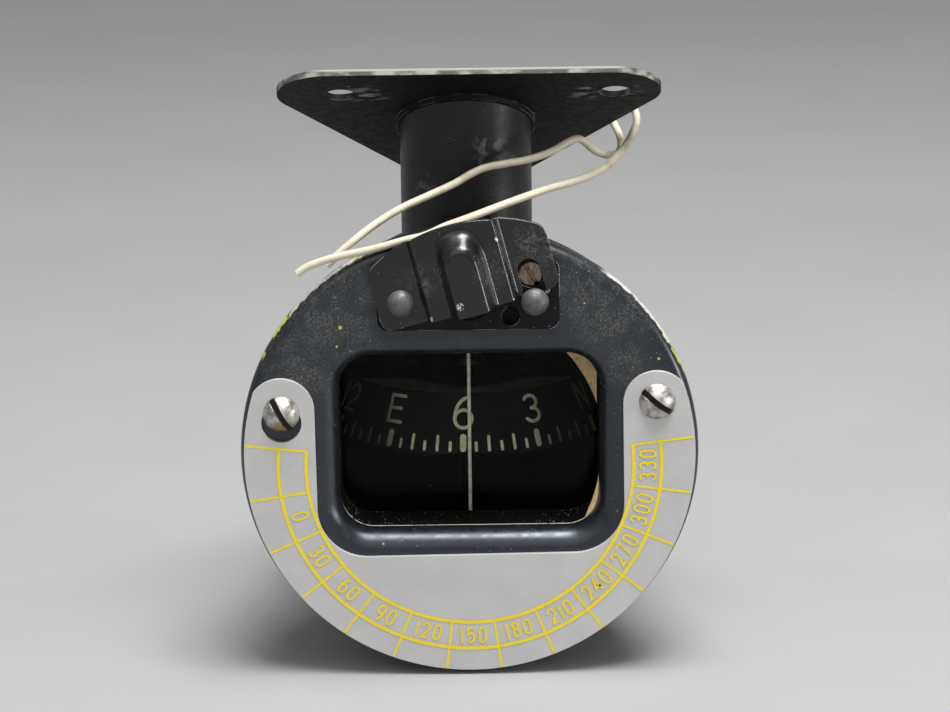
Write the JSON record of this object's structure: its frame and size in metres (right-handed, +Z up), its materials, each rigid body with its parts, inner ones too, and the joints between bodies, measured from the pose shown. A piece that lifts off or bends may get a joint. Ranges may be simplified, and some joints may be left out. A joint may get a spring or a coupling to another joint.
{
  "type": "aircraft compass",
  "caption": "Liquid-filled magnetic compass with a float-borne dial behind a window, gear-coupled compensator magnets under a swing cover, and a slanted bolt-on flange.",
  "frame": {"origin": "centre of the three flange holes, on the flange's upper face, 2.3 mm right of the tube's axis", "axes": "+Z up along the mounting tube, the window faces -Y, +X to the viewer's right"},
  "size_m": [0.0826, 0.091, 0.1092],
  "materials": {
    "flange": "satin black paint, chipped at the edges",
    "tube": "satin black paint",
    "bowl": "black paint",
    "bezel": "satin black paint, dusty, worn at the rim",
    "cover": "satin black paint, chipped at the edges",
    "plate": "black paint",
    "stud": "blackened",
    "card": "satin, printed in yellow",
    "screw": "dull",
    "small_screw": "dull",
    "brass": "dull",
    "bronze": "springy sheet",
    "washer": "bright",
    "magnet": "ground",
    "lens": "clear",
    "cork": "cork sheet",
    "ring": "blackened",
    "cream_paint": "cream paint",
    "dial": "black paint with cream marks",
    "float": "tinned",
    "hard_metal": "polished",
    "jewel": "polished",
    "lead": "cream insulation, yellowed",
    "rubber": "matt",
    "socket": "satin",
    "bulb": "clear",
    "filter": "red"
  },
  "bodies": {
    "case": {"mounting_flange": "flange", "mounting_tube": "tube", "case_bowl": "bowl", "rear_cover": "bowl", "front_bezel": "bezel", "compensator_plate": "plate", "cover_pivot_stud": "stud", "cover_latch_stud": "stud", "correction_card": "card", "correction_card_screws": "screw", "bezel_screws": "small_screw", "rear_cover_screws": "small_screw", "tube_screws": "small_screw", "card_inserts": "brass", "pivot_post": "brass", "filler_plug": "brass", "expansion_diaphragm": "bronze", "cover_washer": "washer", "lens": "lens", "lens_gasket": "cork", "lens_retainer": "ring", "lubber_line": "cream_paint", "jewel": "jewel", "lead_wire_lower": "lead", "lead_wire_upper": "lead", "lead_grommet": "rubber", "filler_seal": "rubber", "lamp_socket": "socket", "lamp_bulb": "bulb", "lamp_filter": "filter"},
    "cover": {"swing_cover": "cover"},
    "ns_turner": {"ns_adjuster": "brass", "ns_adjuster_magnet": "magnet"},
    "ns_idler": {"ns_follower": "brass", "ns_follower_magnet": "magnet"},
    "ew_turner": {"ew_adjuster": "brass", "ew_adjuster_magnet": "magnet"},
    "ew_idler": {"ew_follower": "brass", "ew_follower_magnet": "magnet"},
    "card_tip": {"pivot_tip": "hard_metal"},
    "card_pin": {"pivot_pin": "hard_metal"},
    "compass_card": {"float_hub": "brass", "float_shell": "float", "float_base": "float", "dial": "dial", "card_magnets": "magnet", "magnet_hangers": "brass"}
  },
  "joints": [
    {"name": "cover_swing", "type": "hinge", "parent": "case", "child": "cover", "pos_m": [-0.0142, -0.0378, -0.0269], "axis": [0, -1, 0], "range_deg": [-14.5, 75]},
    {"name": "ns_adjust", "type": "hinge", "parent": "case", "child": "ns_turner", "pos_m": [-0.0135, -0.036, -0.0221], "axis": [0, -1, 0], "continuous": true},
    {"name": "ns_follow", "type": "hinge", "parent": "case", "child": "ns_idler", "pos_m": [-0.0115, -0.036, -0.0264], "axis": [0, -1, 0], "continuous": true},
    {"name": "ew_adjust", "type": "hinge", "parent": "case", "child": "ew_turner", "pos_m": [0.0089, -0.036, -0.0221], "axis": [0, -1, 0], "continuous": true},
    {"name": "ew_follow", "type": "hinge", "parent": "case", "child": "ew_idler", "pos_m": [0.0069, -0.036, -0.0264], "axis": [0, -1, 0], "continuous": true},
    {"name": "card_roll", "type": "hinge", "parent": "case", "child": "card_tip", "pos_m": [-0.0023, 0.01181, -0.0557], "axis": [0, 1, 0], "range_deg": [-12, 12]},
    {"name": "card_pitch", "type": "hinge", "parent": "card_tip", "child": "card_pin", "pos_m": [-0.0023, 0.01181, -0.0557], "axis": [1, 0, 0], "range_deg": [-12, 12]},
    {"name": "card_turn", "type": "hinge", "parent": "card_pin", "child": "compass_card", "pos_m": [-0.0023, 0.01181, -0.0557], "axis": [0, 0, 1], "continuous": true}
  ],
  "couplings": [
    {"joint": "ns_follow", "follows": "ns_adjust", "ratio": -1},
    {"joint": "ew_follow", "follows": "ew_adjust", "ratio": -1}
  ]
}
